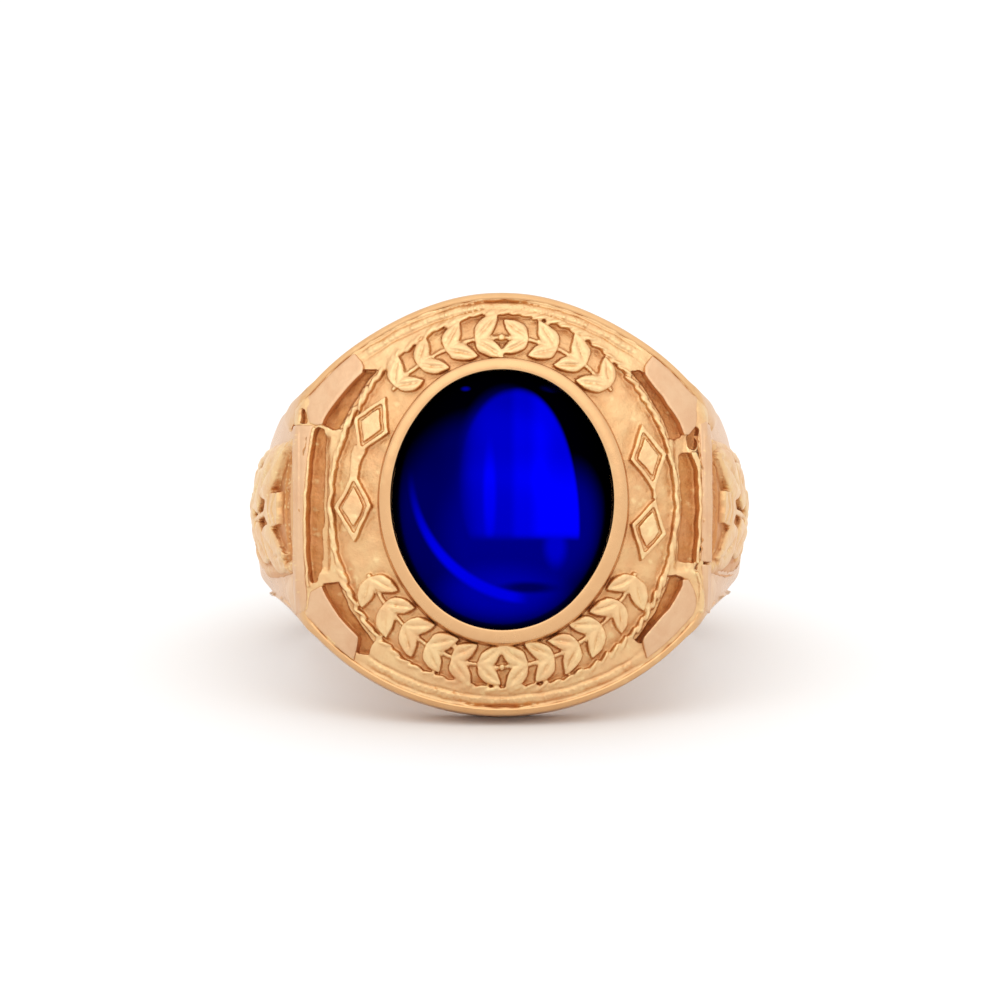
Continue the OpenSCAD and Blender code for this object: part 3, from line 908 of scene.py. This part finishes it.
def makeCap():
    # everything cast in relief between the rails
    look = {"voxel": 0.05, "ground": 0.02, "pocket": 0.17, "scratch": 0.016, "uneven": 0.05, "wobble": 0.06,
            "groove": 0.08, "grooves": (0.37, 0.8), "grooveWide": 0.07, "grooveEnds": (5.6, 6.8),
            "step": 0.05, "stepWide": 0.05, "kept": 0.6,
            # worn down beside the side pockets: where that starts and ends across, and how far along
            "worn": 0.17, "wornFrom": (7.7, 8.0), "wornTo": (8.3, 8.5), "wornHalf": (2.9, 3.3),
            # and sunk under the bars
            "barSink": 0.3, "barLeft": (9.02, 9.12), "barRight": (9.14, 9.24),
            "barTop": (3.5, 3.7), "barFoot": (-5.1, -4.9)}
    hole = stoneLoop(5.3, 6.3, 90)
    ground, low = look["ground"], look["ground"] - look["pocket"]
    parts = [plate("ground", [ropeLoop(120, 0.3), hole], -0.5, ground),
             plate("floor", [lensLoop(9.3, 0.3), hole], -0.5, low)]
    makeRope(parts)
    makeSurround(parts)
    makeMilgrain(parts)
    makeLozenges(parts)
    makeRidges(parts)
    makeWreath(parts)
    cap = joined(parts, "castTop")
    softened(cap, look["voxel"], 3, 0.05, 0.4)
    for vert in cap.data.vertices:
        # cut by hand: no line is quite straight and no top quite level
        x, y, rise = vert.co
        shift = noise.noise_vector(Vector((x * 1.3, y * 1.3, 5))) * look["wobble"]
        vert.co.x, vert.co.y = x + shift.x, y + shift.y
        vert.co.z += look["uneven"] * noise.noise(Vector((x * 1.6, y * 1.6, 3)))
        out, far = ropeShare(x, y), abs(x)
        if out > 1.02:
            side = eased(far, *look["wornFrom"]) * (1 - eased(far, *look["wornTo"]))
            side *= 1 - eased(abs(y), *look["wornHalf"])
            vert.co.z -= look["worn"] * side * eased(rise, -0.05, 0.2)
            under = eased(far, *look["barLeft" if x < 0 else "barRight"])
            under *= (1 - eased(y, *look["barTop"])) * eased(y, *look["barFoot"])
            vert.co.z -= look["barSink"] * under
        if out > 1.02 and rise < 0.06:
            # the floor of the recesses has fine scratches from the graver, square to the rope
            scratch = noise.noise(Vector((math.atan2(y, x) * 75, out * 4, 0)))
            vert.co.z += look["scratch"] * scratch
        elif out > 1.02:
            # shallow grooves on both sides of the beads, the outer one cut deeper in the middle
            inset = lensInset(x, y)
            fade = 1 - eased(far, *look["grooveEnds"])
            for groove in look["grooves"]:
                deeper = 1 + (1.6 * math.exp(-(x / 1.3) ** 2) if groove == look["grooves"][0] else 0)
                cut = math.exp(-((inset - groove) / look["grooveWide"]) ** 2)
                vert.co.z -= look["groove"] * fade * deeper * cut
        elif rise < 0.1:
            # the track lies deepest beside the rope
            vert.co.z -= look["step"] * math.exp(-((1 - out) / look["stepWide"]) ** 2)
    # thinned, because the fine voxels leave far more faces than the shape needs
    applyModifier(cap, "DECIMATE", ratio=look["kept"])
    markHeight(cap)
    onTop(cap)
    return cap


def makeRails():
    # polished rail along each long edge, broader towards the shoulders, where it sinks into them
    look = {"reach": 10.9, "half": 0.17, "high": 0.27, "inset": 0.11, "spread": 0.6, "spreadIn": (8.6, 9.7),
            "fadeFrom": 9.6, "sink": 0.6, "draw": 0.4, "dropIn": (8.8, 9.8)}
    half, high = look["half"], look["high"]
    shape = [(-half * 0.7, -0.5), (half, -0.5), (half, high - 0.14), (half - 0.04, high - 0.05),
             (half - 0.1, high), (0.1 - half, high), (0.04 - half, high - 0.05), (-half, high - 0.14),
             (-half, -0.05)]
    rails = []
    for way in (-1, 1):
        path = lensRun(-look["reach"], look["reach"], look["inset"], way, 160)
        rails.append(wire("rail", path, shape))
    rail = joined(rails, "edgeRails")
    for vert in rail.data.vertices:
        x, y, rise = vert.co
        way = 1 if y > 0 else -1
        slope = lensSlope(x, way)
        steep = math.hypot(1, slope)
        across = (lensInset(x, y) - look["inset"] + half) / (2 * half)
        across = min(max(across, 0), 1)
        fade = min(max((abs(x) - look["fadeFrom"]) / (look["reach"] - look["fadeFrom"]), 0), 1)
        move = look["spread"] * eased(abs(x), *look["spreadIn"]) * across + look["draw"] * fade
        # it follows the rounded edge of the shoulder and sinks into it
        turn = math.atan2(abs(x), groundHeight(x, y))
        rounded = edgeDrop(y) * (1 - math.cos(turn)) * eased(abs(x), *look["dropIn"])
        drop = look["sink"] * fade * fade + rounded
        vert.co = (x + move * slope / steep, y - way * move / steep, rise - drop)
    onTop(rail)
    return rail


def makePanels():
    # the four corner panels, none quite like the next; each falls away from its inner edge
    look = {"high": 0.44, "edge": 0.09, "inset": 0.26, "down": 0.08, "voxel": 0.045,
            "fall": 2.2, "fallFrom": 1.03, "least": 0.45}
    inset = look["inset"]
    corners = [
        [(-6.32, 6.45), (-6.2, 6.2), (-6.25, 5.88), (-6.5, 5.65), (-6.75, 5.4), (-7.1, 5.0), (-7.5, 4.5),
         (-7.8, 4.1), (-8.0, 3.75), (-8.08, 3.52), (-8.4, 3.5), (-8.7, 3.62), (-8.78, 4.0), (-8.86, 4.4)],
        [(8.86, 4.3), (8.86, 3.9), (8.8, 3.45), (8.45, 3.02), (8.22, 3.0), (8.15, 3.2), (8.0, 3.6),
         (7.75, 4.0), (7.45, 4.4), (7.25, 4.75), (6.9, 5.15), (6.6, 5.55), (6.45, 5.8), (6.45, 6.15),
         (6.6, 6.4)],
        [(-8.8, -4.8), (-8.74, -4.4), (-8.66, -4.12), (-8.4, -3.98), (-8.12, -3.85), (-8.05, -4.05),
         (-7.9, -4.35), (-7.6, -4.85), (-7.3, -5.3), (-6.9, -5.75), (-6.55, -6.1), (-6.45, -6.22),
         (-6.5, -6.6)],
        [(6.3, -6.45), (6.35, -6.25), (6.6, -5.95), (6.9, -5.6), (7.2, -5.25), (7.5, -4.95), (7.75, -4.55),
         (7.95, -4.2), (8.1, -3.9), (8.12, -3.62), (8.4, -3.58), (8.55, -3.8), (8.7, -4.1), (8.8, -4.4),
         (8.8, -4.8)],
    ]
    edges = [lensRun(-9.05, -6.8, inset, 1, 10), lensRun(7.0, 9.0, inset, 1, 10),
             lensRun(-6.85, -9.1, inset, -1, 10), lensRun(8.95, 6.75, inset + 0.14, -1, 10)]
    parts = []
    for corner, edge in zip(corners, edges):
        loop = [(x, y + look["down"]) for x, y in corner] + edge
        parts.append(plate("panel", [loop], -buried, look["high"], look["edge"]))
    panels = joined(parts, "cornerPanels")
    melted(panels, look["voxel"], 4)
    for vert in panels.data.vertices:
        x, y, rise = vert.co
        if rise > 0:
            beyond = max(ropeShare(x, y) - look["fallFrom"], 0)
            vert.co.z = rise * max(1 - look["fall"] * beyond, look["least"])
    onTop(panels)
    return panels


def makeBars():
    # broad satin bar along the head of each shoulder, slightly bowed, with two fine lines
    look = {"bar": 0.26, "voxel": 0.032, "middle": 9.2, "slope": 0.3,
            "line": 0.025, "lineWide": 0.075, "lines": (-0.08, 0.13)}
    bars = [[(-8.5, 3.6), (-8.66, 2.8), (-8.8, 1.5), (-8.92, 0.1), (-8.94, -1.4), (-8.88, -2.9),
             (-8.8, -4.3), (-8.86, -4.95), (-9.3, -5.0), (-9.42, -4.0), (-9.47, -2.0), (-9.5, 0.0),
             (-9.48, 2.0), (-9.42, 3.66)],
            [(8.96, 3.65), (9.02, 2.0), (9.05, 0.6), (9.03, -0.8), (8.98, -2.7), (9.5, -2.7), (9.57, 0.0),
             (9.56, 2.0), (9.48, 3.66), (9.2, 3.8)],
            [(9.04, -2.8), (9.08, -4.9), (9.46, -4.9), (9.48, -2.8)]]
    bars = joined([plate("bar", [bar], -0.4, look["bar"], 0.08) for bar in bars], "sideBars")
    softened(bars, look["voxel"], 6, 0.03, 0.6)
    for vert in bars.data.vertices:
        # the bar falls away outward
        out = abs(vert.co.x) - look["middle"]
        for line in look["lines"]:
            vert.co.z -= look["line"] * math.exp(-((out - line) / look["lineWide"]) ** 2)
        vert.co.z -= look["slope"] * max(out, 0)
    onTop(bars)
    return bars


def makeShoulder(side):
    # small solid shield over a spray of broad laurel leaves, framed by a smooth rim, with a crusty trench
    # beside the bar; drawn flat with x down the shoulder from the head and y along the finger
    look = {"ground": -0.12, "trench": -0.25, "voxel": 0.045, "rim": 0.3, "rimHigh": 0.1, "stem": 0.14,
            "shield": 0.14, "chevron": 0.1, "chevrons": (-8.8, -8.1), "leaf": 0.26, "crust": 0.14,
            # stalk of each leaf, its turn in degrees, length and width
            "leaves": ((-6.4, 0.9, 66, 4.0, 1.9), (-3.9, 0.5, 62, 3.4, 1.7), (-2.2, 0.2, 68, 2.4, 1.2),
                       (-8.1, 2.2, 84, 2.1, 0.9)),
            "berry": 0.3, "berries": ((-6.9, 2.1), (-4.6, 1.95), (-2.7, 1.15)),
            # swell of the whole field, more on the left, and its slope and rounding across
            "swell": 0.055, "lefter": 0.035, "tilt": 0.07, "middle": 0.5, "fall": 0.01}
    # along the field's edge, from its rounded end up to the head
    end, long = -1.6, 9.3
    run = [end - long * i / 40 for i in range(41)]
    edge = [(x, fieldHalf(x)) for x in run[::-1]] + [(x, -fieldHalf(x)) for x in run]
    head = [(-11.1, -3.1), (-10.0, -1.7), (-9.9, -0.6), (-9.95, 0.4), (-10.1, 1.6), (-11.1, 3.1)]
    trench = [(-11.9, -3.1), (-9, -3), (-9, 3), (-11.9, 3.1)]
    parts = [plate("ground", [edge + head], -0.6, look["ground"]),
             plate("trench", [trench], -0.6, look["trench"])]
    half, high = look["rim"], look["rimHigh"]
    profile = [(-half, -0.5), (half, -0.5), (half, -0.08), (half * 0.6, high - 0.05), (0, high),
               (-half * 0.6, high - 0.05), (-half, -0.08)]
    parts.append(wire("rim", [(-11.6, 3.1)] + edge + [(-11.6, -3.1)], profile))
    shield = [(-9.55, -0.75), (-9.65, -0.3), (-9.55, 0), (-9.65, 0.3), (-9.55, 0.75), (-8.3, 0.8),
              (-7.5, 0.5), (-6.9, 0), (-7.5, -0.5), (-8.3, -0.8)]
    parts.append(plate("shield", [shield], -0.5, look["shield"], 0.08))
    leaf = makeLeaf(1, 1, look["leaf"])
    for x, y, turn, long, wide in look["leaves"]:
        for way in (-1, 1):
            turned = math.radians(turn + random.uniform(-6, 6))
            size = (wide, long * random.uniform(0.92, 1.08), random.uniform(0.85, 1.1))
            parts.append(copyTo(leaf, placed((x, y, 0), turned, size, Matrix.Diagonal((1, way, 1, 1)))))
    remove(leaf)
    parts.append(wire("stem", [(-1.9, 0), (-4, 0.05), (-7.2, 0)], roof(look["stem"], 0.05, 0.12)))
    berry = newBall("berry", 14, 8, look["berry"])
    for x, y in look["berries"]:
        for way in (-1, 1):
            parts.append(copyTo(berry, placed((x, way * y, random.uniform(-0.2, -0.1)))))
    remove(berry)
    relief = joined(parts, "shoulderRelief")
    softened(relief, look["voxel"], 4, 0.12, 1.0)
    for vert in relief.data.vertices:
        x, y, rise = vert.co
        # crusty in the trench and along its edge
        rough = 1 - eased(x, -10.2, -9.8)
        vert.co.z += look["crust"] * rough * noise.noise(Vector((x * 4, y * 4, side)))
        if abs(y) < 0.8 and rise > 0.0:
            # chevrons cut across the shield
            for point in look["chevrons"]:
                away = x - point + 0.6 * abs(y)
                vert.co.z -= look["chevron"] * math.exp(-(away / 0.1) ** 2) * (1 - eased(abs(y), 0.5, 0.8))
        # fullest below the middle of the shoulder
        full = eased(rise, -0.12, 0.1) * eased(x, -11, -8) * (1 - eased(x, -2.4, -1.2))
        up = y * side + look["middle"]
        swell = look["swell"] - look["lefter"] * side + look["tilt"] * up - look["fall"] * up * up
        vert.co.z += full * swell
    markHeight(relief)
    onShoulder(relief, side)
    return relief


print("modelling the casting and the stone")
body = finished(makeBody(), polishedPlain, angle=38)
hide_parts("ring_casting")
stone = finished(makeStone(), foilSpinel, angle=30)
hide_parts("stone")

print("modelling the ornament")
finished(makeBezel(), polishedPlain)
finished(makeCap(), castRelief, angle=60)
finished(makeRails(), polishedTop)
finished(makePanels(), satinPanel, angle=60)
finished(makeBars(), satinPanel, angle=60)
for side in (-1, 1):
    finished(makeShoulder(side), castRelief, angle=60)


# floor, light and camera
def makeStage():
    look = {"floor": "#ebebeb", "size": 3.0}
    deselectAll()
    bpy.ops.mesh.primitive_plane_add(size=look["size"])
    floor = named("studioFloor")
    paint = newMaterial("MattWhitePaint")
    shader = add(paint, "BsdfPrincipled", {"Base Color": linear(look["floor"]), "Roughness": 0.8})
    add(paint, "OutputMaterial", links={"Surface": shader})
    floor.data.materials.append(paint)


def areaLight(name, place, aim, size, power):
    # white softbox
    lamp = bpy.data.lights.new(name, "AREA")
    lamp.shape = "RECTANGLE"
    lamp.size, lamp.size_y = size
    lamp.energy = power
    obj = linked(name, lamp)
    obj.location = place
    obj.rotation_euler = (Vector(aim) - Vector(place)).to_track_quat("-Z", "Y").to_euler()


def makeLight():
    world = bpy.data.worlds.new("studio")
    bpy.context.scene.world = world
    world.use_nodes = True
    world.node_tree.nodes["Background"].inputs["Color"].default_value = linear("#ffffff")
    world.node_tree.nodes["Background"].inputs["Strength"].default_value = 1.2
    areaLight("overheadSoftbox", (0.05, -0.05, 0.55), (0, 0, 0.006), (0.8, 0.6), 0.25)
    areaLight("frontSoftbox", (-0.05, -0.36, 0.5), (0, 0, 0.006), (1.0, 0.5), 0.85)


def makeCamera():
    # as the photograph: nearly straight on to the stone, a little from below
    look = {"distance": 0.42, "frame": 0.0456, "turn": -0.5, "below": 4.8}
    aim = laid @ Vector((-0.09, -13.0, 0.05))
    lens = bpy.data.cameras.new("camera")
    camera = linked("camera", lens)
    high = tip - math.radians(look["below"])
    turn = math.radians(look["turn"])
    way = Vector((math.sin(turn) * math.cos(high), -math.cos(turn) * math.cos(high), math.sin(high)))
    camera.location = aim + way * look["distance"]
    camera.rotation_euler = (-way).to_track_quat("-Z", "Y").to_euler()
    lens.sensor_width = 36
    lens.lens = lens.sensor_width * look["distance"] / look["frame"]
    lens.clip_start = 0.01
    bpy.context.scene.camera = camera


print("laying the floor, the light and the camera")
makeStage()
makeLight()
makeCamera()
bpy.context.scene.view_settings.view_transform = "Standard"
